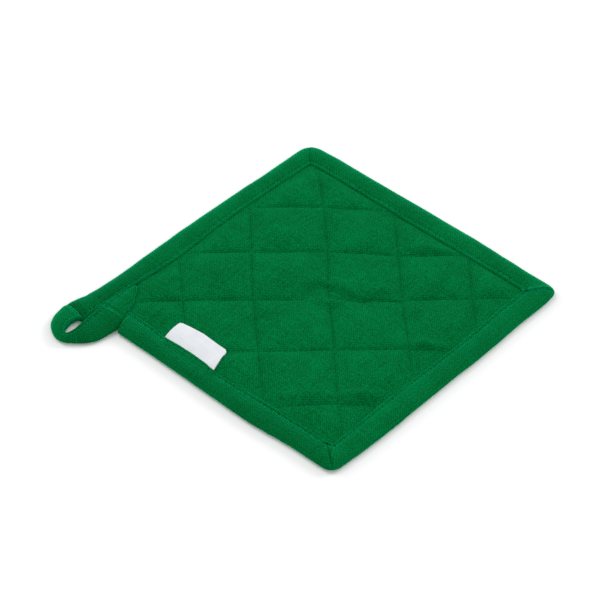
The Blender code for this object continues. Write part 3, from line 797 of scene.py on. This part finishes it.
def with_inner_face(rings, outer, inner, face):
    """Adds the tape's inner face, the thickness of the tape inside its outer one."""
    way = inner - outer
    way /= np.linalg.norm(way, axis=1, keepdims=True)
    offsets = face_offsets(face)
    sideways = way[:, None, :] * offsets[None, :, 0:1]
    upwards = np.broadcast_to(offsets[None, :, 1:2], rings.shape[:2] + (1,))
    shift = np.concatenate([sideways, upwards], axis=2)
    return np.concatenate([rings, (rings + shift)[:, ::-1]], axis=1)


def make_binding():
    outer, inner, side_index, lift, along = binding_stations()
    rings = tape_rings(outer, inner, along, lift, TAPE_FACE)
    run = np.einsum("rpk,rk->rp", rings[:, :, :2], RUNS[side_index])
    across = np.broadcast_to(section_run(TAPE_FACE)[None, :], run.shape)
    places = np.stack([run, across], axis=2)
    places = np.concatenate([places, places[:, ::-1]], axis=1)
    # The ribs stand out most along the first side and towards the loop. The same values darken the dye as
    # painted shade, most along the first side, which lies in the shade of the strongest lamp.
    ribs_and_painted_shading = np.interp(side_index, (0.0, 1.0), (0.75, 0.28)) + 0.15 * run_unevenness(along, 31)
    ribs_and_painted_shading += 0.5 * smooth_step((along - along[-1] + 70.0) / 60.0)
    skin = with_inner_face(rings, outer, inner, TAPE_FACE)
    return strip_mesh("binding_tape", skin, places, len(TAPE_FACE), ribs_and_painted_shading)


def tape_cloth(tree):
    """The tape's own coordinates, along it and across it, which the mesh carries."""
    return add_node(tree, "UVMap", uv_map="cloth")


# Its ribs lie about 0.6 mm apart, and are drawn at 1.1 mm so that they show.
TAPE_GREENS = ("#005020", "#007b42")
binding = make_binding()
# Rubbing has raised more loose fibres on the tape than on the pad.
tape_finish = cotton_cloth(
    "dyed ribbed cotton tape", tape_cloth, 0.75 * MM, TAPE_GREENS, 0.10 * MM, rib=1.05, fibres=1.0
)
binding.data.materials.append(tape_finish)
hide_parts("binding")
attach(binding, "root")


# ---- Hanging loop ----
# The same tape runs on past the pad's corner, folded on itself and sewn shut along its open edges. It turns
# back beside itself in a small loop, and its end is sewn down over the corner in a slanting patch.

# Columns: outer fold x, y and height of its middle, sewn inner edge x, y and height of its middle, the
# tape's thickness at the fold and at the sewn edge as shares of the binding's, and how far its lower layer
# lies flat on the table under the pad's corner. Lengths are in mm.
LOOP_ROWS = (
    (-101.4, -92.0, 2.4, -86.9, -92.0, 2.4, 1.00, 1.00, 0.0),
    (-102.6, -96.0, 2.5, -87.0, -96.0, 2.6, 0.98, 0.98, 0.0),
    (-103.4, -99.6, 2.7, -87.1, -100.3, 2.5, 0.92, 0.92, 0.0),
    (-103.8, -102.6, 2.8, -87.4, -104.0, 1.9, 0.84, 0.62, 0.0),
    (-103.9, -104.9, 2.6, -88.3, -106.2, 1.5, 0.76, 0.55, 0.0),
    (-103.9, -106.8, 3.2, -89.3, -107.6, 3.3, 0.76, 0.81, 0.0),
    (-103.6, -110.2, 2.9, -90.1, -109.8, 3.6, 0.70, 0.84, 0.0),
    (-102.7, -115.4, 2.3, -90.6, -113.0, 3.6, 0.66, 0.84, 0.0),
    (-100.0, -120.6, 1.9, -90.2, -116.4, 3.5, 0.62, 0.84, 0.0),
    (-95.8, -124.2, 1.9, -89.2, -119.2, 3.4, 0.60, 0.81, 0.0),
    (-91.0, -126.6, 1.8, -87.9, -121.0, 3.2, 0.60, 0.79, 0.0),
    (-86.9, -127.2, 1.8, -86.4, -121.6, 3.1, 0.60, 0.79, 0.0),
    (-82.6, -126.0, 1.8, -85.2, -120.4, 3.1, 0.62, 0.79, 0.0),
    (-77.8, -122.4, 1.8, -84.6, -117.2, 3.3, 0.62, 0.75, 0.0),
    (-73.4, -118.2, 1.7, -84.7, -113.4, 3.6, 0.62, 0.72, 0.0),
    (-70.3, -113.4, 1.7, -85.2, -109.4, 3.9, 0.64, 0.70, 0.0),
    (-68.9, -108.2, 1.8, -85.6, -105.2, 4.2, 0.68, 0.70, 0.0),
    (-68.3, -103.2, 2.0, -85.8, -100.8, 4.5, 0.74, 0.70, 0.0),
    (-67.6, -98.2, 2.4, -86.0, -97.2, 4.8, 0.82, 0.70, 0.5),
    (-68.3, -93.0, 3.0, -86.0, -93.8, 5.0, 0.86, 0.70, 1.0),
    (-69.5, -90.0, 3.4, -86.0, -91.4, 4.7, 0.64, 0.58, 1.0),
    (-70.3, -87.6, 4.2, -86.0, -89.2, 5.0, 0.60, 0.70, 1.0),
    (-72.8, -82.9, 4.4, -85.9, -84.0, 4.9, 0.54, 0.70, 1.0),
    (-76.2, -76.9, 4.4, -85.8, -77.6, 4.7, 0.50, 0.65, 1.0),
    (-80.0, -71.3, 4.3, -85.6, -71.6, 4.4, 0.46, 0.56, 1.0),
    (-83.2, -67.2, 4.2, -85.4, -67.4, 4.2, 0.45, 0.49, 1.0),
)
LOOP_STEPS = 8
# Numbers of the rows above, and how clearly the ribs stand out there. The same values paint shade and light
# on the dye: the return strand is darkened as painted shade, and the turn, stretched smooth, is below 0,
# which lightens it as a painted highlight.
RIBS_AND_SHADING_ROWS = ((4.0, 5.0, 11.0, 13.0, 18.0, 21.0), (1.0, -0.4, 0.2, 1.2, 1.2, 0.2))
# The sewn open edges, which close the folded tape with a slit between its two layers. Same columns as the
# tape's face.
LOOP_EDGE = ((1.000, 1.40), (0.955, 2.10), (1.000, 2.80))


def smooth_rows(rows, steps):
    """Rows in between those of a table, on smooth curves through its columns."""
    table = np.array(rows, float)
    padded = np.concatenate([2.0 * table[:1] - table[1:2], table, 2.0 * table[-1:] - table[-2:-1]])
    found = []
    for a, b, c, d in zip(padded, padded[1:], padded[2:], padded[3:]):
        for step in range(steps):
            t = step / steps
            bend = (2.0 * a - 5.0 * b + 4.0 * c - d) + t * (3.0 * (b - c) + d - a)
            found.append(b + 0.5 * t * ((c - a) + t * bend))
    found.append(table[-1])
    return np.array(found)


def loop_stations():
    """Cross-sections of the loop's tape: fold, sewn edge, the table's last columns and place along it."""
    rows = smooth_rows(LOOP_ROWS, LOOP_STEPS)
    outer, inner = rows[:, :3], rows[:, 3:6]
    along = distances_along((outer + inner) / 2.0) + binding_stations()[4][-1]
    return outer, inner, rows[:, 6:], along


def make_loop():
    outer, inner, thick, along = loop_stations()
    face = TAPE_FACE + LOOP_EDGE
    share, height = (np.array(column) for column in zip(*face))
    way = inner - outer
    up = np.cross(np.gradient((outer + inner) / 2.0, axis=0), way)
    up *= np.sign(up[:, 2:3]) / np.linalg.norm(up, axis=1, keepdims=True)
    flat = tape_rings(outer[:, :2], inner[:, :2], along, np.zeros(len(along)), face)
    rise = (flat[:, :, 2] - FOLD_HEIGHT) * (thick[:, :1] + (thick[:, 1:2] - thick[:, :1]) * share)
    rings = outer[:, None, :] + way[:, None, :] * share[None, :, None] + up[:, None, :] * rise[:, :, None]
    level = np.clip(thick[:, 2:], 0.0, 1.0) * (height < FOLD_HEIGHT)
    rings[:, :, 2] += (flat[:, :, 2] - rings[:, :, 2]) * level
    rings[:, :, 2] = np.maximum(rings[:, :, 2], 0.0)
    width = np.linalg.norm(way, axis=1)[:, None] / TAPE_WIDTH
    across = np.broadcast_to(section_run(face)[None, :], rings.shape[:2]) * np.minimum(width, 1.2)
    run = np.broadcast_to((along - along[0] - TAPE_END)[:, None], across.shape)
    places = np.stack([run, across], axis=2)
    ribs_and_painted_shading = np.interp(np.arange(len(along)) / LOOP_STEPS, *RIBS_AND_SHADING_ROWS)
    return strip_mesh("loop_tape", rings, places, 0, ribs_and_painted_shading)


loop = make_loop()
loop.data.materials.append(tape_finish)
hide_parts("hanging_loop")
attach(loop, "root")


# ---- Label ----
# A strip of white woven cloth, folded across its middle. Both ends are sewn under the binding and the fold
# lies free on the pad, so its two layers show at its side. It is bare.

# Its four corners in plan, in mm. The sewn end goes in under the binding.
LABEL_SEWN = np.array(((-41.4, -87.6), (-1.7, -88.6)))
LABEL_FOLD = np.array(((-41.7, -73.0), (-5.9, -71.5)))
LABEL_SHEET = 0.36
# The room between its two layers at the fold, and the share of it that is left at the sewn end.
LABEL_GAP = 0.45
LABEL_GAP_SEWN = 0.35
LABEL_ROUNDING = 1.3
LABEL_CURL = 0.25
# Heights of the lower layer's underside above the table. Columns: share of the way from the sewn end to the
# fold, then the height at the left side, in the middle and at the right side, in mm.
LABEL_BED = np.array(
    (
        (0.00, 3.50, 3.50, 3.50),
        (0.10, 3.62, 3.65, 3.60),
        (0.22, 4.45, 4.50, 4.40),
        (0.40, 5.30, 5.55, 5.20),
        (0.65, 5.90, 6.65, 5.75),
        (1.00, 5.75, 7.25, 5.60),
    )
)
LABEL_COLUMNS = 48
LABEL_ROWS = 22
LABEL_TURN_STEPS = 7


def label_point(across, out):
    """A point of the lower layer's underside, by the shares across the label and out to its fold."""
    left, right = LABEL_SEWN + (LABEL_FOLD - LABEL_SEWN) * out
    # The fold's two corners are rounded off.
    length = np.linalg.norm(LABEL_FOLD[0] - LABEL_SEWN[0])
    past = max(0.0, (out - 1.0) * length / LABEL_ROUNDING + 1.0)
    trim = LABEL_ROUNDING * (1.0 - math.sqrt(max(0.0, 1.0 - past * past))) / np.linalg.norm(right - left)
    plan = left + (right - left) * (trim + (1.0 - 2.0 * trim) * across)
    sides = [np.interp(out, LABEL_BED[:, 0], LABEL_BED[:, column]) for column in (1, 2, 3)]
    curl = LABEL_CURL * math.sin(5.3 * across + 0.4) * out
    return np.array((*plan, np.interp(across, (0.0, 0.5, 1.0), sides) + curl))


def label_profile(across):
    """The label's profile from one sewn end round the fold to the other: outer points and inner points."""
    shares = np.linspace(0.0, 1.0, LABEL_ROWS) ** 0.8
    low = np.array([label_point(across, share) for share in shares])
    up = np.array((0.0, 0.0, 1.0))
    out = (low[-1] - low[-4]) / np.linalg.norm(low[-1] - low[-4])
    gap = LABEL_GAP * (LABEL_GAP_SEWN + (1.0 - LABEL_GAP_SEWN) * shares)[:, None]
    middle = low[-1] + up * (LABEL_SHEET + gap[-1] / 2.0)
    turns = np.linspace(0.0, math.pi, LABEL_TURN_STEPS + 1)[1:-1, None]
    ways = out * np.sin(turns) - up * np.cos(turns)
    over = (low + up * (2.0 * LABEL_SHEET + gap))[::-1]
    outer = np.concatenate([low, middle + ways * (LABEL_SHEET + gap[-1] / 2.0), over])
    inner = np.concatenate([low + up * LABEL_SHEET, middle + ways * gap[-1] / 2.0, over - up * LABEL_SHEET])
    return outer, inner


def make_label():
    rings = []
    for across in np.linspace(0.0, 1.0, LABEL_COLUMNS + 1):
        outer, inner = label_profile(across)
        rings.append(np.concatenate([outer, inner[::-1]]))
    rings = np.array(rings)
    half = rings.shape[1] // 2
    run = distances_along(rings[0, :half])
    run = np.concatenate([run, run[::-1]])
    across = np.linspace(0.0, np.linalg.norm(LABEL_FOLD[1] - LABEL_FOLD[0]), LABEL_COLUMNS + 1)
    places = np.stack(np.broadcast_arrays(across[:, None], run[None, :]), axis=2)
    return strip_mesh("label_cloth", rings, places, half)


def label_weave():
    """Woven polyester label cloth: fine even threads, which leave it smooth, matt and a cool white."""
    made, tree = new_material("white woven polyester")
    at = tape_cloth(tree)
    # Its threads are 0.15 mm apart, too fine to show, and are drawn at 0.6 mm.
    lines = []
    for axis in (0, 1):
        place = add_node(tree, "SeparateXYZ", {0: at}, out=axis)
        phase = add_node(tree, "Math", {0: place, 1: math.pi / (0.6 * MM)}, operation="MULTIPLY")
        lines.append(add_node(tree, "Math", {0: phase}, operation="SINE"))
    weave = add_node(tree, "Math", {0: lines[0], 1: lines[1]}, operation="MULTIPLY")
    cloud = add_node(tree, "TexNoise", {"Vector": at, "Scale": 180.0, "Detail": 3.0})
    shade = add_node(tree, "Math", {0: weave, 1: 0.25, 2: cloud}, operation="MULTIPLY_ADD")
    whites = {"Factor": shade, "A": linear("#cfd2d6"), "B": linear("#e6e8ec")}
    finish = {
        "Base Color": add_node(tree, "Mix", whites, out="Result", data_type="RGBA"),
        "Roughness": 0.75,
        "IOR": 1.5,
        "Specular IOR Level": 0.2,
        "Normal": add_node(tree, "Bump", {"Height": shade, "Strength": 0.6, "Distance": 0.04 * MM}),
    }
    add_node(tree, "OutputMaterial", {"Surface": add_node(tree, "BsdfPrincipled", finish)})
    return made


label = make_label()
label.data.materials.append(label_weave())
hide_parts("label")
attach(label, "root")


# ---- Sewing thread ----
# Green cotton thread, sewn by machine: one row of stitches on every quilting line, one just inside the
# binding's edge that runs on beside the loop's opening, and a few stitches over each other where the loop's
# tape meets the corner. Each stitch is a short bead that dives into the cloth at both ends.

QUILT_STITCH_PITCH = 3.0
# The few stitches over each other that fasten the loop. Columns: x, y in mm, and their turn in degrees.
KNOTS = ((-92.8, -88.9, 90.0), (-72.0, -86.0, 120.0))
KNOT_STITCHES = 3
KNOT_LENGTH = 1.8
KNOT_SPREAD = 0.4
# The end of the loop's tape that lies over the corner has no row of its own.
PATCH_LENGTH = 26.0
THREAD_RADIUS = 0.19
THREAD_SIDES = 6
# How far a stitch's ends sink into the cloth, and how far its middle bows up.
THREAD_SINK = 0.1
THREAD_BOW = 0.12
# The thread that shows at each stitch, as a share of the pitch.
QUILT_STITCH_SHOWS = 0.66
TAPE_STITCH_SHOWS = 0.7
# One stitch. Columns: place along it, share of the thread's radius.
THREAD_RINGS = ((0.0, 0.4), (0.1, 0.85), (0.3, 1.0), (0.5, 1.05), (0.7, 1.0), (0.9, 0.85), (1.0, 0.4))


def surface_height(pieces):
    """A function that finds the height, in mm, of the top of the pieces at a plan point."""
    points, faces = [], []
    for piece in pieces:
        base = len(points)
        points += [tuple(vert.co) for vert in piece.data.vertices]
        faces += [[base + index for index in face.vertices] for face in piece.data.polygons]
    found = BVHTree.FromPolygons(points, faces)

    def height(x, y):
        hit = found.ray_cast(Vector((x * MM, y * MM, 0.05)), Vector((0.0, 0.0, -1.0)))[0]
        return hit.z / MM if hit else None

    return height


def thread_beads(name, stitches):
    """Beads of thread between pairs of points, in mm, sunk at their ends and bowed up in the middle."""
    places, sizes = (np.array(column)[:, None] for column in zip(*THREAD_RINGS))
    turns = np.arange(THREAD_SIDES) * 2.0 * math.pi / THREAD_SIDES
    index = np.arange(len(THREAD_RINGS) * THREAD_SIDES).reshape(-1, THREAD_SIDES)
    bead = [*skin_faces(index), index[0].tolist(), index[-1].tolist()]
    bm = bmesh.new()
    for start, end in stitches:
        start, end = np.array(start), np.array(end)
        way = end - start
        side = np.cross(way, (0.0, 0.0, 1.0))
        side /= np.linalg.norm(side)
        up = np.cross(side, way)
        up /= np.linalg.norm(up)
        bowed = THREAD_BOW * (1.0 - (2.0 * places - 1.0) ** 2) - THREAD_SINK
        middle = start + way * places + up * bowed
        turned = side * np.cos(turns)[:, None] + up * np.sin(turns)[:, None]
        points = middle[:, None, :] + THREAD_RADIUS * sizes[:, :, None] * turned[None]
        verts = [bm.verts.new(point) for point in points.reshape(-1, 3) * MM]
        for face in bead:
            bm.faces.new([verts[number] for number in face])
    return link_mesh(name, bm)


def stitches_along(line, run, begins, length, height, allowed=lambda x, y: True):
    """The start and the end of each stitch on a line in plan, by how far along it the stitches begin."""
    found = []
    for begin in begins:
        ends = [tuple(np.interp(at, run, column) for column in line) for at in (begin, begin + length)]
        heights = [height(*end) for end in ends]
        if None not in heights and all(allowed(*end) for end in ends):
            found.append([(*end, level) for end, level in zip(ends, heights)])
    return found


def clear_of_tape(x, y):
    return inside_distance(x, y) > 0.8


def quilting_stitches():
    height = surface_height([pad])
    reach = np.linspace(-SEAMS_EACH_WAY, SEAMS_EACH_WAY, 600)
    pitch, length = QUILT_STITCH_PITCH, QUILT_STITCH_PITCH * QUILT_STITCH_SHOWS
    found = []
    for number in range(-SEAMS_EACH_WAY + 1, SEAMS_EACH_WAY):
        still = np.full_like(reach, float(number))
        for line in (quilt_place(still, reach), quilt_place(reach, still)):
            run = distances_along(np.stack(line, axis=1))
            begins = np.arange((pitch - length) / 2.0, run[-1] - pitch, pitch)
            found += stitches_along(line, run, begins, length, height, clear_of_tape)
    return found


def tape_stitches(piece, outer, inner, along, last):
    """Stitches beside the inner edge of a piece of tape, one between each of the dents that they pull."""
    width = np.linalg.norm(inner - outer, axis=1)[:, None]
    line = inner - (inner - outer) * np.minimum(STITCH_FROM_EDGE / width, 0.3)
    first = (math.ceil(along[0] / STITCH_PITCH) + (1.0 - TAPE_STITCH_SHOWS) / 2.0) * STITCH_PITCH
    begins = np.arange(first, last - STITCH_PITCH, STITCH_PITCH)
    return stitches_along(line.T, along, begins, TAPE_STITCH_SHOWS * STITCH_PITCH, surface_height([piece]))


def binding_stitches():
    outer, inner, _, _, along = binding_stations()
    return tape_stitches(binding, outer, inner, along, along[-1])


def loop_stitches():
    outer, inner, _, along = loop_stations()
    found = tape_stitches(loop, outer[:, :2], inner[:, :2], along, along[-1] - PATCH_LENGTH)
    height = surface_height([binding, loop])
    for x, y, turn in KNOTS:
        way = np.array((math.cos(math.radians(turn)), math.sin(math.radians(turn))))
        side = np.array((-way[1], way[0]))
        for step in range(KNOT_STITCHES):
            middle = np.array((x, y)) + side * KNOT_SPREAD * (step - (KNOT_STITCHES - 1) / 2.0)
            ends = [middle - way * KNOT_LENGTH / 2.0, middle + way * KNOT_LENGTH / 2.0]
            found.append([(*end, height(*end)) for end in ends])
    return found


# It takes the dye a little darker than the cloth.
THREAD_GREENS = ("#004421", "#005c2e")
thread_finish = cotton_cloth("dyed spun cotton thread", lying_cloth, 0.5 * MM, THREAD_GREENS, 0.02 * MM)
for name, stitches in (
    ("quilting_thread", quilting_stitches()),
    ("binding_thread", binding_stitches()),
    ("loop_thread", loop_stitches()),
):
    thread = thread_beads(name, stitches)
    thread.data.materials.append(thread_finish)
    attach(thread, "root")


# ---- Table, light and camera ----
# A plain white table in a pale room, with soft lamps behind the pad on both sides and one in front of it,
# and the camera above the front corner, so that the square stands on its corner in view.

TABLE_SIZE = 6.0
CAMERA_AZIMUTH, CAMERA_ELEVATION = math.radians(42.66), math.radians(42.74)
CAMERA_DISTANCE = 1.322
CAMERA_TARGET = Vector((-9.15 * MM, -7.17 * MM, 0.0))
CAMERA_LENS = 135.78
LAMP_DISTANCE = 2.4
LAMP_SIZE = 0.9
# The soft lamps. Columns: turn from straight behind the pad, elevation, both in degrees, and power in watts.
LAMPS = (
    (-56.0, 27.0, 21.2),
    (55.0, 25.0, 11.4),
    (50.0, 52.0, 9.1),
    (180.0, 40.0, 10.5),
)
SKY = 0.69


def towards(azimuth, elevation):
    """The way from the middle to a point at an azimuth round the object and an elevation."""
    level = math.cos(elevation)
    return Vector((math.sin(azimuth) * level, -math.cos(azimuth) * level, math.sin(elevation)))


def place_facing(name, data, away, distance, target):
    """Puts a lamp or the camera so far from its target, facing it."""
    placed = link_object(name, data)
    placed.location = target + away * distance
    placed.rotation_mode = "QUATERNION"
    placed.rotation_quaternion = (-away).to_track_quat("-Z", "Y")
    return placed


def make_table():
    bm = bmesh.new()
    bmesh.ops.create_grid(bm, x_segments=1, y_segments=1, size=TABLE_SIZE / 2)
    table = link_mesh("table", bm)
    white = bpy.data.materials.new("matt white board")
    white.use_nodes = True
    shader = white.node_tree.nodes["Principled BSDF"]
    shader.inputs["Base Color"].default_value = linear("#f4f4f4")
    shader.inputs["Roughness"].default_value = 0.9
    shader.inputs["Specular IOR Level"].default_value = 0.0
    table.data.materials.append(white)
    return table


def make_lamp(turn, elevation, power):
    data = bpy.data.lights.new("soft_lamp", "AREA")
    data.shape, data.size, data.energy = "DISK", LAMP_SIZE, power
    away = towards(CAMERA_AZIMUTH + math.pi + math.radians(turn), math.radians(elevation))
    place_facing("soft_lamp", data, away, LAMP_DISTANCE, Vector())


def make_sky():
    world = bpy.data.worlds.new("soft_sky")
    world.use_nodes = True
    background = world.node_tree.nodes["Background"]
    background.inputs["Color"].default_value = (1.0, 1.0, 1.0, 1.0)
    background.inputs["Strength"].default_value = SKY
    bpy.context.scene.world = world


def make_camera():
    data = bpy.data.cameras.new("camera")
    data.lens, data.sensor_width = CAMERA_LENS, 36.0
    data.clip_start, data.clip_end = 0.05, 20.0
    back = towards(CAMERA_AZIMUTH, CAMERA_ELEVATION)
    bpy.context.scene.camera = place_facing("camera", data, back, CAMERA_DISTANCE, CAMERA_TARGET)


make_table()
for lamp_row in LAMPS:
    make_lamp(*lamp_row)
make_sky()
make_camera()
bpy.context.scene.view_settings.view_transform = "Standard"
